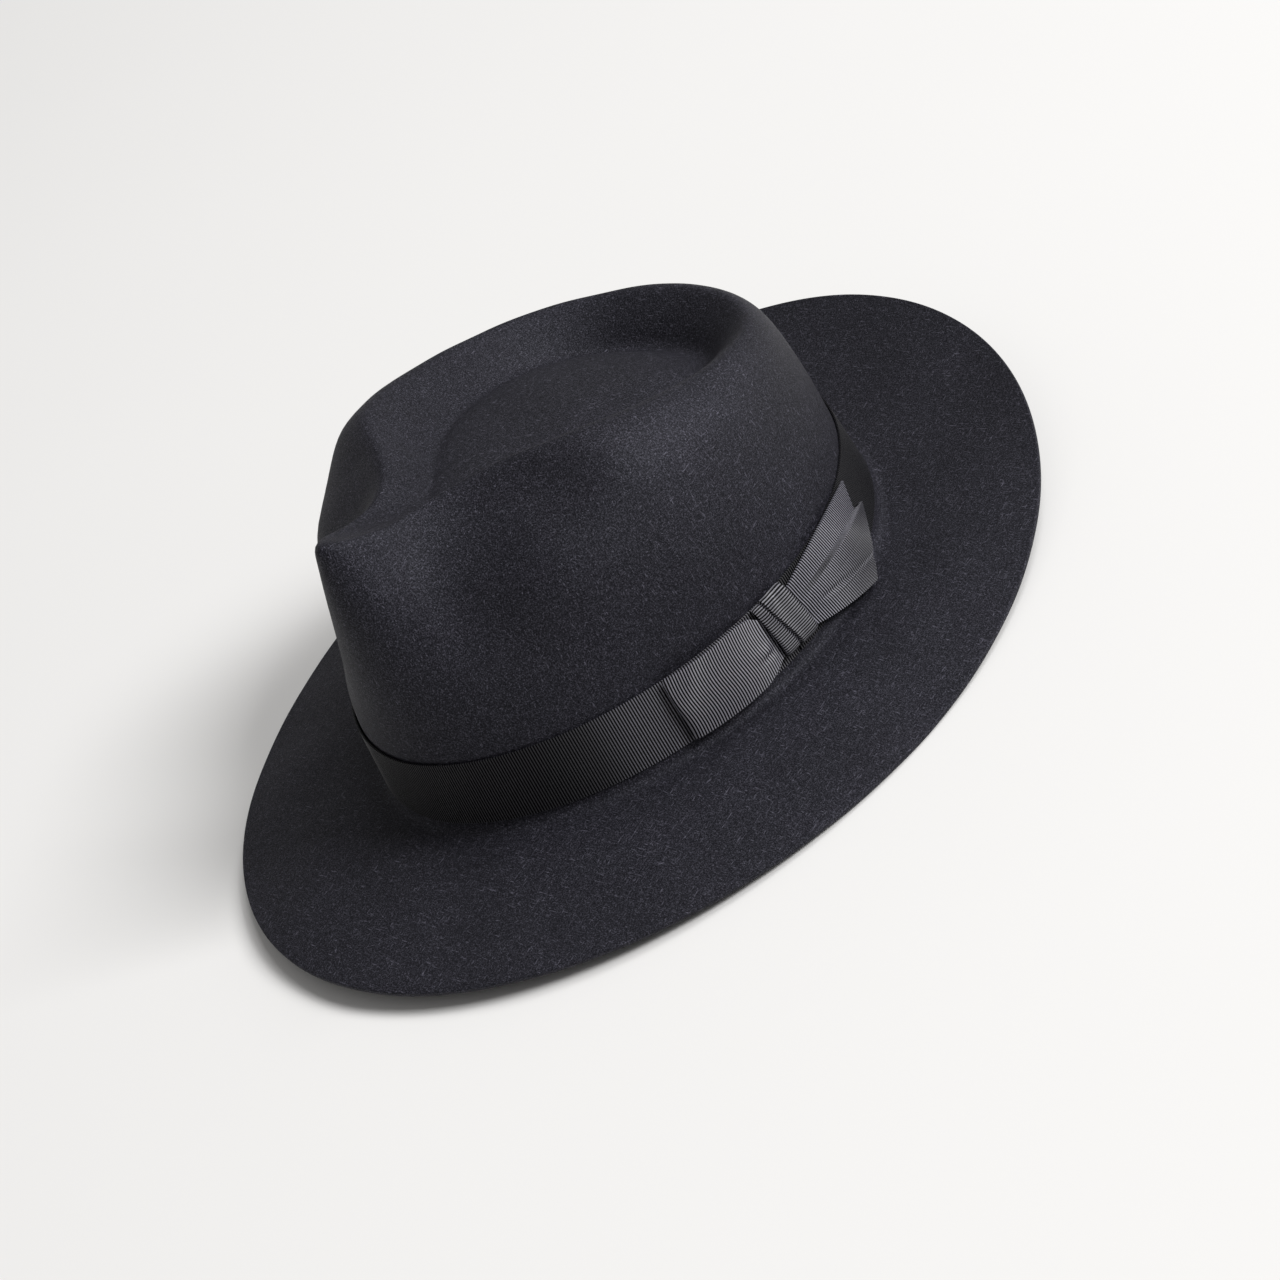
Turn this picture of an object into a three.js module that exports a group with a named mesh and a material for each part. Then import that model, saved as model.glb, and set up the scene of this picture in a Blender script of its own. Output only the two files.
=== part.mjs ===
// A pinch-front fedora of fur felt: one felt body (crown and brim in one piece), a grosgrain
// hatband with a bow on the wearer's left, and the fittings inside it: leather sweatband on a
// reed, satin lining of a side band and a tip, and a small bow and a label on the sweatband.
//
// Millimetres, +Z up, -Y the front of the hat, +X the wearer's left. The origin is the middle
// of the head opening, level with the break between brim and crown.
//
// Everything is laid out on one closed line, the head oval. An angle goes round it: 0 is the
// wearer's left, 90 the back, 180 the wearer's right and 270 the front.

import * as THREE from 'three';
import { ParametricGeometry } from 'three/addons/geometries/ParametricGeometry.js';
import { mergeVertices } from 'three/addons/utils/BufferGeometryUtils.js';

// ---- the head oval at the break, on the outside of the felt
const HALF_LENGTH = 104;
const HALF_WIDTH = 86.9;
const EGG = 0.05;             // wider behind the middle than in front of it
const SQUARENESS = 1.95;      // exponent of the oval, 2 is an ellipse
const AROUND = 48;            // steps round the hat, shared by every ring

// ---- felt
const FELT_THICK = 1.8;
const BRIM_WIDTH = { mean: 59.7, frontBack: -1.0, sides: -2.7 };
const BRIM_EDGE = { mean: -1.6, backUp: 6.6, sides: -6.2, third: -0.7 };
const BRIM_STEPS = [1, 0.97, 0.82, 0.62, 0.42, 0.26, 0.14, 0.07];
const BRIM_CURL = 1.7;        // how late the brim leaves the level of the break

// ---- hatband
const RIBBON_LOW = 4.9;
const RIBBON_WIDE = 24;
const RIBBON_THICK = 0.5;
const RIBBON_OUT = 0.8;       // outer face beyond the oval at the lower edge
const RIBBON_TAPER = 2.5;     // the crown leans in this much over the ribbon's width

// Half of the crest round the top, from the nose at the front to the back: out, back, up.
const CREST = [
  [0, -85.5, 111.3], [6.5, -81, 108.8], [8.5, -70, 103.6], [10.5, -56.5, 100.3], [16.5, -43.5, 99.8],
  [28, -32.5, 101.3], [41, -24, 102.4], [52, -14.5, 102], [59, -3, 99], [62.5, 10, 95.2],
  [64, 24, 91.2], [64, 38, 87.2], [60, 53, 83.3], [52, 67, 80], [38, 79, 77.3],
  [20, 87, 75.9], [0, 90, 75.4],
];
// Half of the channel inside the crest, the lowest line of the teardrop crease.
const CHANNEL = [
  [0, -42, 91], [1.5, -41.5, 90.8], [4, -40, 90.5], [7.5, -36.5, 89.8], [12, -31, 89],
  [18, -24, 88.2], [25, -16, 87], [31, -7, 85.5], [36, 3, 83.2], [40, 14, 80.3],
  [42.5, 26, 77], [42, 38, 73.5], [39, 49, 70], [33, 58, 66.5], [24, 65, 63.5],
  [13, 69, 62], [0, 70.5, 61.5],
];
const BUMP_TOP = [0, 4, 86];  // middle of the rise inside the channel
const BUMP_SLOPE = 0.1;       // it falls this much towards the back

// How far the wall has leant from the oval to the crest at each level, by where it stands.
const WALL_LEVELS = [0.12, 0.3, 0.46, 0.6, 0.73, 0.84, 0.93];
const LEAN = {
  side: [0, 0.02, 0.05, 0.09, 0.16, 0.29, 0.53],
  back: [0.01, 0.05, 0.1, 0.17, 0.27, 0.41, 0.61],
  front: [0.03, 0.14, 0.27, 0.4, 0.53, 0.69, 0.85],
  dent: [0.03, 0.06, 0.08, 0.1, 0.22, 0.49, 0.78],
  nose: [0.06, 0.18, 0.32, 0.46, 0.6, 0.74, 0.88],
};

// ---- sweatband
const LEATHER_THICK = 0.9;
const LEATHER_LOW = 2.2;
const LEATHER_HIGH = 35;
const LEATHER_OUT = -3.7;     // its outer face at the lower edge
const LEATHER_LEAN = 5.2;     // and this much further in at the upper edge
const SEAM_GAP_DEG = 0.4;
const REED_OUT = -2.95;
const REED_UP = 0.3;
const REED_RADIUS = 0.7;
const TAPE_RADIUS = 1.0;      // inside of the tape, round the reed
const TAPE_THICK = 0.3;
const TAPE_HIGH = 7;
const THREAD_RADIUS = 0.25;
const THREAD_UP = 4.4;

// ---- lining
const SATIN_THICK = 0.35;
const LINING_LOW = 17;
const PIPING_RADIUS = 0.8;
const LINING_CREST = [
  [0, -52, 86], [4, -51.5, 86.5], [8, -49, 87.5], [12, -44.5, 88.5], [18, -37, 90.5],
  [27, -28.5, 93.5], [38, -21, 95.5], [48.5, -12.5, 95], [55, -2, 92.3], [58.5, 10, 88.7],
  [60, 24, 84.8], [59.8, 37, 80.8], [56, 50.5, 77], [48.5, 63.5, 73.8], [35.5, 74.5, 71.2],
  [18.7, 82, 69.6], [0, 84.7, 69],
];
const LINING_CHANNEL = [
  [0, -36, 83.5], [1.5, -35.5, 83.3], [3.8, -34, 83], [7, -31, 82.5], [11, -26.5, 81.8],
  [16.5, -20.5, 81], [23, -13.5, 79.8], [28.5, -5.5, 78.3], [33, 3.5, 76], [37, 13.5, 73.2],
  [39.2, 24.5, 70], [38.8, 35.8, 66.5], [36, 46, 63], [30.5, 54.5, 59.5], [22, 61, 56.8],
  [12, 64.8, 55.3], [0, 66.2, 54.8],
];
const LINING_TOP = [0, 4, 79.5];

// ---- bow, in degrees round the band, millimetres up from its lower edge and out from its face
const BOW_THICK = 0.5;
const DEG_LONG = 1.815;       // millimetres in a degree of the band beside the bow
const LOOP_FRONT = -29.2;
const LOOP_BACK = -5.2;
const KNOT_FRONT = -7.4;
const KNOT_BACK = 0.6;
const RIBBON_JOIN = -3.4;     // where the hatband's ends meet, under the knot

const rad = THREE.MathUtils.degToRad;
const lerp = THREE.MathUtils.lerp;

// ---------------------------------------------------------------- the head oval

function oval(angle) {
  const c = Math.cos(angle);
  const s = Math.sin(angle);
  const k = (Math.abs(c) ** SQUARENESS + Math.abs(s) ** SQUARENESS) ** (-1 / SQUARENESS);
  return new THREE.Vector2(HALF_WIDTH * c * k * (1 + EGG * s), HALF_LENGTH * s * k);
}

// A point beside the oval: out along its normal, and up from the break.
function beside(angle, out, up) {
  const ahead = oval(angle + 0.02);
  const behind = oval(angle - 0.02);
  const normal = new THREE.Vector2(ahead.y - behind.y, behind.x - ahead.x).normalize();
  const p = oval(angle).addScaledVector(normal, out);
  return new THREE.Vector3(p.x, p.y, breakHeight(angle) + up);
}

function breakHeight(angle) {
  return -2.0 * Math.sin(angle) - 0.8 * Math.cos(2 * angle);
}

// 0 at the nose, 16 at the middle of the back.
function fromFront(angle) {
  const turn = 2 * Math.PI;
  const a = (((angle + Math.PI * 1.5) % turn) + turn) % turn - Math.PI;
  return Math.abs(a) / (Math.PI / 16);
}

// A half line is read as a smooth curve and mirrored across the middle of the hat.
function along(half, angle) {
  const place = Math.min(fromFront(angle), 15.9999);
  const k = Math.floor(place);
  const u = place - k;
  const mirrored = ([x, y, z]) => [-x, y, z];
  const p0 = k === 0 ? mirrored(half[1]) : half[k - 1];
  const p3 = k === 15 ? mirrored(half[15]) : half[k + 2];
  const point = [0, 1, 2].map((axis) => {
    const [a, b, c, d] = [p0[axis], half[k][axis], half[k + 1][axis], p3[axis]];
    return 0.5 * (2 * b + (c - a) * u + (2 * a - 5 * b + 4 * c - d) * u * u
      + (3 * b - a - 3 * c + d) * u * u * u);
  });
  return new THREE.Vector3(Math.cos(angle) >= 0 ? point[0] : -point[0], point[1], point[2]);
}

// ---------------------------------------------------------------- the crown and brim surface

const bell = (x, width) => Math.exp(-((x / width) ** 2));

function lean(angle, level) {
  const place = fromFront(angle);
  const back = THREE.MathUtils.smoothstep(place, 8, 13);
  const dented = 1 - THREE.MathUtils.smoothstep(place, 5.3, 7.3);
  const aside = THREE.MathUtils.smoothstep(place, 2.5, 5.5);
  const plain = lerp(LEAN.side[level], LEAN.back[level], back);
  const dent = lerp(LEAN.front[level], LEAN.dent[level], aside);
  return lerp(lerp(plain, dent, dented), LEAN.nose[level], bell(place, 1.7));
}

function between(from, to, share, heightShare) {
  const p = from.clone().lerp(to, share);
  p.z = lerp(from.z, to.z, heightShare);
  return p;
}

function brimPoint(angle, step) {
  const width = BRIM_WIDTH.mean + BRIM_WIDTH.frontBack * Math.sin(angle)
    + BRIM_WIDTH.sides * Math.cos(2 * angle);
  const edge = BRIM_EDGE.mean + BRIM_EDGE.backUp * Math.sin(angle)
    + BRIM_EDGE.sides * Math.cos(2 * angle) + BRIM_EDGE.third * Math.sin(3 * angle);
  const rise = (edge - breakHeight(angle)) * step ** BRIM_CURL;
  return beside(angle, width * step, rise);
}

// The line of control points from the brim's edge up the wall, over the crest and into the crease.
function feltLine(angle) {
  const foot = beside(angle, -RIBBON_TAPER, RIBBON_LOW + RIBBON_WIDE - 2);
  const crest = along(CREST, angle);
  const channel = along(CHANNEL, angle);
  const top = new THREE.Vector3(...BUMP_TOP);
  const place = fromFront(angle);
  const line = BRIM_STEPS.map((step) => brimPoint(angle, step));
  line.push(beside(angle, 1.2, 0.6), beside(angle, 0, 4.5), beside(angle, -0.8, 12));
  line.push(beside(angle, -0.7 * RIBBON_TAPER, 22), foot);
  WALL_LEVELS.forEach((level, i) => {
    line.push(between(foot, crest, lean(angle, i), level));
  });
  line.push(crest.clone().setZ(crest.z + 1.2));
  const roundness = 1.5 - 0.55 * bell(place, 2.2);
  for (const share of [0.22, 0.45, 0.72]) {
    line.push(between(crest, channel, share, share ** roundness));
  }
  line.push(channel.clone().setZ(channel.z - 0.8));
  for (const [share, rise] of [[0.1, 0.3], [0.22, 0.6], [0.4, 0.82], [0.62, 0.95], [0.85, 1]]) {
    const p = channel.clone().lerp(top, share);
    const surface = top.z - BUMP_SLOPE * (p.y - top.y);
    line.push(p.setZ(lerp(channel.z, surface, rise)));
  }
  line.push(top, top, top);
  return line;
}

// A uniform cubic B-spline through a control line, at every one of its knots.
function smoothed(line) {
  const ends = [line[0], ...line, line[line.length - 1]];
  return line.map((_, i) => new THREE.Vector3()
    .addScaledVector(ends[i], 1 / 6)
    .addScaledVector(ends[i + 1], 4 / 6)
    .addScaledVector(ends[i + 2], 1 / 6));
}

const feltLines = new Map();

function feltPoint(column, row) {
  const key = ((column % AROUND) + AROUND) % AROUND;
  if (!feltLines.has(key)) feltLines.set(key, smoothed(feltLine(rad(key * 360 / AROUND))));
  return feltLines.get(key)[row];
}

// ---------------------------------------------------------------- closed solids from grids

// A grid of points that closes on itself across, and either closes round or is capped at its
// two ends, as one closed body with its faces pointing out.
function gridSolid(across, along_, pointAt) {
  const grid = new ParametricGeometry((u, v, target) => {
    target.copy(pointAt(Math.round(u * across) % across, Math.round(v * along_)));
  }, across, along_);
  grid.deleteAttribute('normal');
  grid.deleteAttribute('uv');
  const merged = mergeVertices(grid, 1e-4);
  const index = [...merged.index.array];
  const kept = [];
  for (let i = 0; i < index.length; i += 3) {
    const [a, b, c] = index.slice(i, i + 3);
    if (a !== b && b !== c && c !== a) kept.push(a, b, c);
  }
  merged.setIndex(signedVolume(merged, kept) < 0 ? kept.reverse() : kept);
  merged.computeVertexNormals();
  return merged;
}

function signedVolume(geometry, index) {
  const at = (i) => new THREE.Vector3().fromBufferAttribute(geometry.attributes.position, i);
  let volume = 0;
  for (let i = 0; i < index.length; i += 3) {
    volume += at(index[i]).dot(at(index[i + 1]).cross(at(index[i + 2])));
  }
  return volume / 6;
}

// A sheet with two faces: rows go across it, columns along it. Round a ring the last column is
// the first; on an open strip both ends are closed by a row of points halfway between the faces.
function sheetSolid(rows, columns, ring, front, back) {
  const face = (row, column) => (row < rows ? front(row, column) : back(2 * rows - 1 - row, column));
  if (ring) return gridSolid(2 * rows, columns, (row, column) => face(row, column % columns));
  const middle = (row, column) => {
    const r = row < rows ? row : 2 * rows - 1 - row;
    return front(r, column).clone().lerp(back(r, column), 0.5);
  };
  return gridSolid(2 * rows, columns + 1, (row, column) => {
    if (column === 0) return middle(row, 0);
    if (column === columns + 1) return middle(row, columns - 1);
    return face(row, column - 1);
  });
}

// A ring of one section, its corners given as out and up beside the head oval.
function ringSolid(section) {
  return gridSolid(section.length, AROUND, (row, column) => {
    const [out, up] = section[row];
    return beside(rad((column % AROUND) * 360 / AROUND), out, up);
  });
}

function circle(out, up, radius, sides) {
  return Array.from({ length: sides }, (_, i) => {
    const a = 2 * Math.PI * i / sides;
    return [out + radius * Math.cos(a), up + radius * Math.sin(a)];
  });
}

const hat = new THREE.Group();

function addPiece(name, geometry, color, roughness) {
  const material = new THREE.MeshStandardMaterial({ color, roughness, metalness: 0 });
  const mesh = new THREE.Mesh(geometry, material);
  mesh.name = name;
  hat.add(mesh);
}

// ---------------------------------------------------------------- felt body

function feltBody() {
  const rows = feltLine(0).length - 1;
  const inner = (row, column) => {
    const p = feltPoint(column, row);
    if (row === rows - 1) return p.clone().setZ(p.z - FELT_THICK);
    const up = feltPoint(column, row + 1).clone().sub(feltPoint(column, Math.max(row - 1, 0)));
    const round = feltPoint(column + 1, row).clone().sub(feltPoint(column - 1, row));
    return p.clone().addScaledVector(up.cross(round).normalize(), FELT_THICK);
  };
  return sheetSolid(rows, AROUND, true, (row, column) => feltPoint(column, row), inner);
}

// ---------------------------------------------------------------- hatband and bow

// A point on the hatband: degrees round, up from its lower edge, out from its face.
function onBand(degrees, up, out) {
  const face = RIBBON_OUT - RIBBON_TAPER * up / RIBBON_WIDE;
  return beside(rad(degrees), face + out, RIBBON_LOW + up);
}

function hatbandRibbon() {
  const heights = [0, RIBBON_WIDE / 3, RIBBON_WIDE * 2 / 3, RIBBON_WIDE];
  const step = 360 / AROUND;
  const stops = [RIBBON_JOIN + 0.2];
  for (let a = 0; a < 360 - step / 2; a += step) stops.push(a);
  stops.push(360 + RIBBON_JOIN - 0.2);
  return sheetSolid(heights.length, stops.length, false,
    (row, column) => onBand(stops[column], heights[row], 0),
    (row, column) => onBand(stops[column], heights[row], -RIBBON_THICK));
}

// A ribbon standing on edge follows a plan of [millimetres along the band, out]; its two faces
// are half a thickness to either side of it.
function ribbonOnPlan(plan, heightsAt, rows) {
  const side = (column, sign) => {
    const before = plan[Math.max(column - 1, 0)];
    const after = plan[Math.min(column + 1, plan.length - 1)];
    const across = new THREE.Vector2(before[1] - after[1], after[0] - before[0]).normalize();
    return [plan[column][0] + sign * across.x * BOW_THICK / 2,
      plan[column][1] + sign * across.y * BOW_THICK / 2];
  };
  const point = (row, column, sign) => {
    const [longways, out] = side(column, sign);
    const [low, high] = heightsAt(plan[column][0]);
    return onBand(longways / DEG_LONG, lerp(low, high, row / (rows - 1)), out);
  };
  return sheetSolid(rows, plan.length, false,
    (row, column) => point(row, column, 1), (row, column) => point(row, column, -1));
}

// The loop is one ribbon folded back on itself: the fold faces forward, both ends are gathered
// under the knot.
function bowLoop() {
  const front = LOOP_FRONT * DEG_LONG;
  const back = LOOP_BACK * DEG_LONG;
  const plan = [[back, 0.75], [back - 8, 0.7], [front + 20, 0.65], [front + 6, 0.65]];
  plan.push([front + 1.8, 0.75], [front + 0.4, 1.3], [front + 0.1, 2.0], [front + 0.9, 2.8]);
  plan.push([front + 4, 3.4], [front + 14, 3.9], [front + 26, 3.8], [back - 8, 3.2], [back, 2.6]);
  const heights = (x) => {
    const gathered = THREE.MathUtils.smoothstep(x, back - 14, back);
    return [0.9 + 2.9 * gathered, 24.2 - 2.4 * gathered];
  };
  return ribbonOnPlan(plan, heights, 3);
}

// The tail fans out of the knot to a notched end; its lower corner stands out over the brim.
function bowTail() {
  const shares = [0, 0.17, 0.33, 0.42, 0.6, 0.8, 1];
  const end = [[28.6, 23.6, 1.2], [27.2, 19.4, 1.4], [25.8, 14.9, 1.6], [29.9, 12.3, 1.8],
    [25.9, 7.6, 3.3], [21.4, 2.2, 5], [16.9, -2.9, 6.8]];
  const atKnot = (share) => [lerp(-1.4, 0.4, share), lerp(21.3, 3.6, share), 2.3];
  const columns = 7;
  const place = (row, column) => {
    const u = column / (columns - 1);
    const share = shares[row];
    const start = atKnot(share);
    const arch = 4 * u * (1 - u);
    return [lerp(start[0], end[row][0], u),
      lerp(start[1], end[row][1], u) + 3.0 * arch * (1 - share) - 0.6 * arch * share,
      lerp(start[2], end[row][2], u) + 0.7 * arch * Math.sin(Math.PI * share)];
  };
  const face = (out) => (row, column) => {
    const [degrees, up, away] = place(row, column);
    return onBand(degrees, up, away + out);
  };
  return sheetSolid(shares.length, columns, false, face(BOW_THICK / 2), face(-BOW_THICK / 2));
}

// The knot is a short ribbon arched over the gathered ends, a wide fold and a narrower pleat.
function bowKnot() {
  const arch = [[25.4, 0.7], [25.5, 2.6], [24.4, 4.2], [19, 5.2], [12, 5.5], [6, 5.2], [2.4, 4.3],
    [1.2, 2.7], [1.1, 0.7]];
  const across = [[0, -0.5], [0.24, -0.15], [0.4, -0.45], [0.46, 0], [0.72, 0.25], [1, -0.1]];
  const middle = new THREE.Vector2(13, 0.5);
  const face = (inset) => (row, column) => {
    const [up, out] = arch[column];
    const [share, swell] = across[row];
    const inward = middle.clone().sub(new THREE.Vector2(up, out)).normalize();
    const h = up + inward.x * (inset - swell);
    const d = out + inward.y * (inset - swell);
    const slant = lerp(1.2, 0, up / RIBBON_WIDE);
    return onBand(lerp(KNOT_FRONT, KNOT_BACK, share) + slant, h, Math.max(d, 0.35));
  };
  return sheetSolid(across.length, arch.length, false, face(0), face(BOW_THICK));
}

// ---------------------------------------------------------------- sweatband

// The leather's faces lean inwards from the break: depth 0 is the outer face.
function onLeather(angle, up, depth) {
  const share = (up - LEATHER_LOW) / (LEATHER_HIGH - LEATHER_LOW);
  return beside(angle, LEATHER_OUT - LEATHER_LEAN * share - depth, up);
}

function sweatband() {
  const heights = [LEATHER_LOW, 13, 25, LEATHER_HIGH];
  const step = 360 / AROUND;
  const stops = [90 + SEAM_GAP_DEG / 2];
  for (let a = 90 + step; a < 450 - step / 2; a += step) stops.push(a);
  stops.push(450 - SEAM_GAP_DEG / 2);
  return sheetSolid(heights.length, stops.length, false,
    (row, column) => onLeather(rad(stops[column]), heights[row], 0),
    (row, column) => onLeather(rad(stops[column]), heights[row], LEATHER_THICK));
}

function sweatbandReed() {
  return ringSolid(circle(REED_OUT, REED_UP, REED_RADIUS, 6));
}

// The tape hooks under the reed and runs up behind the leather.
function sweatbandReedTape() {
  const hook = (radius, turns) => turns.map((degrees) => [
    REED_OUT + radius * Math.cos(rad(degrees)), REED_UP + radius * Math.sin(rad(degrees))]);
  const outer = hook(TAPE_RADIUS + TAPE_THICK, [35, -20, -75, -130, -185]);
  const inner = hook(TAPE_RADIUS, [-185, -130, -75, -20, 35]);
  const leg = REED_OUT + 0.2;
  return ringSolid([[leg + TAPE_THICK, TAPE_HIGH], [leg + TAPE_THICK, 2.1], ...outer, ...inner,
    [leg, 1.8], [leg, TAPE_HIGH]]);
}

function sweatbandStitching() {
  const share = (THREAD_UP - LEATHER_LOW) / (LEATHER_HIGH - LEATHER_LOW);
  const face = LEATHER_OUT - LEATHER_LEAN * share - LEATHER_THICK;
  return ringSolid(circle(face - 0.3 - THREAD_RADIUS, THREAD_UP, THREAD_RADIUS, 4));
}

// A flat patch on the inner face of the leather.
function patchOnLeather(centreDeg, halfDeg, low, high, clearance, thick) {
  const heights = [low, (low + high) / 2, high];
  const stops = [-1, -0.5, 0, 0.5, 1].map((share) => rad(centreDeg + share * halfDeg));
  return sheetSolid(heights.length, stops.length, false,
    (row, column) => onLeather(stops[column], heights[row], LEATHER_THICK + clearance),
    (row, column) => onLeather(stops[column], heights[row], LEATHER_THICK + clearance + thick));
}

// The small bow over the sweatband's seam: two loops drawn together in the middle.
function sweatbandRearBow() {
  const stations = [-11, -9.5, -6, -3, -1.6, 1.6, 3, 6, 9.5, 11];
  const heights = [3.4, 4.6, 3.9, 2.4, 2.2, 2.2, 2.4, 3.9, 4.6, 3.4];
  const depths = [0.9, 1.5, 1.7, 1.2, 1.9, 1.9, 1.2, 1.7, 1.5, 0.9];
  const rows = 4;
  const onFace = LEATHER_THICK + 1.1;
  const point = (row, column, front) => {
    const side = 2 * row / (rows - 1) - 1;
    const angle = rad(90 + stations[column] / 1.52);
    const crown = front ? 0 : depths[column] * (1 - 0.5 * side * side);
    return onLeather(angle, 25 + side * heights[column], onFace + crown);
  };
  return sheetSolid(rows, stations.length, false,
    (row, column) => point(row, column, true), (row, column) => point(row, column, false));
}

// ---------------------------------------------------------------- lining

function liningFoot(angle) {
  return beside(angle, -5.2, 30);
}

function ringAngle(column) {
  return rad((column % AROUND) * 360 / AROUND);
}

// The side band hangs from the piping round the crest down behind the sweatband.
function liningSide() {
  const levels = [0, 1, 3, 5];
  const slack = [0.012, 0.05, 0.06, 0.06];
  const outside = (row, column) => {
    const angle = ringAngle(column);
    const crest = along(LINING_CREST, angle);
    if (row === 0) return beside(angle, -3.75, LINING_LOW);
    if (row === 1) return liningFoot(angle);
    if (row === 6) return between(liningFoot(angle), crest, 0.97, 0.965);
    const i = levels[row - 2];
    return between(liningFoot(angle), crest, lean(angle, i) + slack[row - 2], WALL_LEVELS[i]);
  };
  const inside = (row, column) => {
    const p = outside(row, column);
    const middle = new THREE.Vector3(0, 0, p.z - 12);
    return p.clone().addScaledVector(middle.sub(p).normalize(), SATIN_THICK);
  };
  return sheetSolid(7, AROUND, true, outside, inside);
}

function liningPiping() {
  const sides = 6;
  return gridSolid(sides, AROUND, (row, column) => {
    const angle = ringAngle(column);
    const centre = along(LINING_CREST, angle);
    const ahead = along(LINING_CREST, angle + 0.05).sub(along(LINING_CREST, angle - 0.05));
    const out = new THREE.Vector3(ahead.y, -ahead.x, 0).normalize();
    const turn = 2 * Math.PI * row / sides;
    centre.addScaledVector(out, PIPING_RADIUS * Math.cos(turn));
    return centre.setZ(centre.z + PIPING_RADIUS * Math.sin(turn));
  });
}

// The tip follows the crease from below: down to the channel, up under the bump.
function liningTip() {
  const shares = [0.1, 0.45, 1];
  const rises = [[0.3, 0.62], [0.65, 0.95]];
  const top = new THREE.Vector3(...LINING_TOP);
  const rows = shares.length + rises.length + 1;
  const upper = (row, column) => {
    const angle = ringAngle(column);
    const crest = along(LINING_CREST, angle);
    const channel = along(LINING_CHANNEL, angle);
    if (row < shares.length) return between(crest, channel, shares[row], shares[row]);
    if (row === rows - 1) return top.clone();
    const [share, rise] = rises[row - shares.length];
    return between(channel, top, share, rise);
  };
  const lower = (row, column) => {
    const p = upper(row, column);
    return p.setZ(p.z - SATIN_THICK);
  };
  return sheetSolid(rows, AROUND, true, upper, lower);
}

// ---------------------------------------------------------------- the hat

addPiece('felt_body', feltBody(), 0x232428, 0.95);
addPiece('hatband_ribbon', hatbandRibbon(), 0x15151d, 0.7);
addPiece('bow_loop', bowLoop(), 0x191922, 0.65);
addPiece('bow_tail', bowTail(), 0x191922, 0.65);
addPiece('bow_knot', bowKnot(), 0x191922, 0.65);
addPiece('sweatband', sweatband(), 0x1a1614, 0.5);
addPiece('sweatband_reed', sweatbandReed(), 0xd8d4c8, 0.4);
addPiece('sweatband_reed_tape', sweatbandReedTape(), 0x1c1a1c, 0.6);
addPiece('sweatband_stitching', sweatbandStitching(), 0x2a282a, 0.8);
addPiece('sweatband_seam_tab', patchOnLeather(90, 3.2, 5.4, 34, 0.3, 0.4), 0x16161c, 0.7);
addPiece('sweatband_rear_bow', sweatbandRearBow(), 0x16161c, 0.6);
addPiece('size_label', patchOnLeather(66, 4.4, 18, 27, 0.3, 0.3), 0xd9d2c0, 0.9);
addPiece('lining_side', liningSide(), 0x24242c, 0.35);
addPiece('lining_piping', liningPiping(), 0x1b1b22, 0.4);
addPiece('lining_tip', liningTip(), 0x24242c, 0.35);

export default hat;
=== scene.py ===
"""Looks of a pinch-front fur felt fedora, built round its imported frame.

Shapes are worked out in millimetres in the frame's axes (+Z up the crown, -Y the front, +X the
wearer's left) and turned into metres when a mesh is made. An angle goes round the head oval:
0 is the wearer's left, 90 the back, 180 the wearer's right and 270 the front.
"""

import math

import bmesh
import bpy
import numpy as np
from mathutils import Matrix, Vector


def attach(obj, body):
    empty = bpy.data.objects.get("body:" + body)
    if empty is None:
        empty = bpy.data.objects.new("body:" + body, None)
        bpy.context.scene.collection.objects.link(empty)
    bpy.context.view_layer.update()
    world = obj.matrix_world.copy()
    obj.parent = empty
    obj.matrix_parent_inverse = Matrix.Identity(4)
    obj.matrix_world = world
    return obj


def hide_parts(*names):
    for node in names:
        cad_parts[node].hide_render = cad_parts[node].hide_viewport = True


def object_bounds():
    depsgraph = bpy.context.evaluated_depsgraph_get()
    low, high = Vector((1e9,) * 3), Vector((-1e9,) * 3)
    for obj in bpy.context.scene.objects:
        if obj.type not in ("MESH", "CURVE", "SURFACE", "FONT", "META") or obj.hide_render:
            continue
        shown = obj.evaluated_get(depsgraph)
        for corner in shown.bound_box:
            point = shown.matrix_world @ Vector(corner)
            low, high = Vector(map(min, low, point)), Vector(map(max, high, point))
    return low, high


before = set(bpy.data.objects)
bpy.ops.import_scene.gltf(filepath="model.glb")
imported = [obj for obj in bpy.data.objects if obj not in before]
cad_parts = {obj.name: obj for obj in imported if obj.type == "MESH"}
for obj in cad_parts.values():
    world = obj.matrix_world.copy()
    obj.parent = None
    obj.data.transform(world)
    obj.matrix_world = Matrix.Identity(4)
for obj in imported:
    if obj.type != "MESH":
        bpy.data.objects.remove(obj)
CAD_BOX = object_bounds()
MM = 0.001

# ---- the head oval at the break between brim and crown, on the outside of the felt
HALF_LENGTH, HALF_WIDTH = 104, 86.9
EGG, SQUARENESS = 0.05, 1.95
HAT_COLUMNS = 320
LINE_STEPS = 4  # rows for each control point of a line
CURVE_STEPS = 12  # the same for a short curve in plan or section

# ---- felt
FELT_THICK = 1.8
BRIM_WIDE = 59.7
BRIM_STEPS = (1, 0.97, 0.82, 0.62, 0.42, 0.26, 0.14, 0.07)  # shares of the way out to its edge
BRIM_CURL = 1.7
CUT_EDGE = ((0.1, 0.2), (0.35, 0.32), (0.65, 0.32), (0.9, 0.2))  # share of the thickness, bulge
FOOT_ROWS = ((1.2, 0.6), (0, 4.5), (-0.8, 12))  # out and up, where the brim turns into the wall

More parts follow.
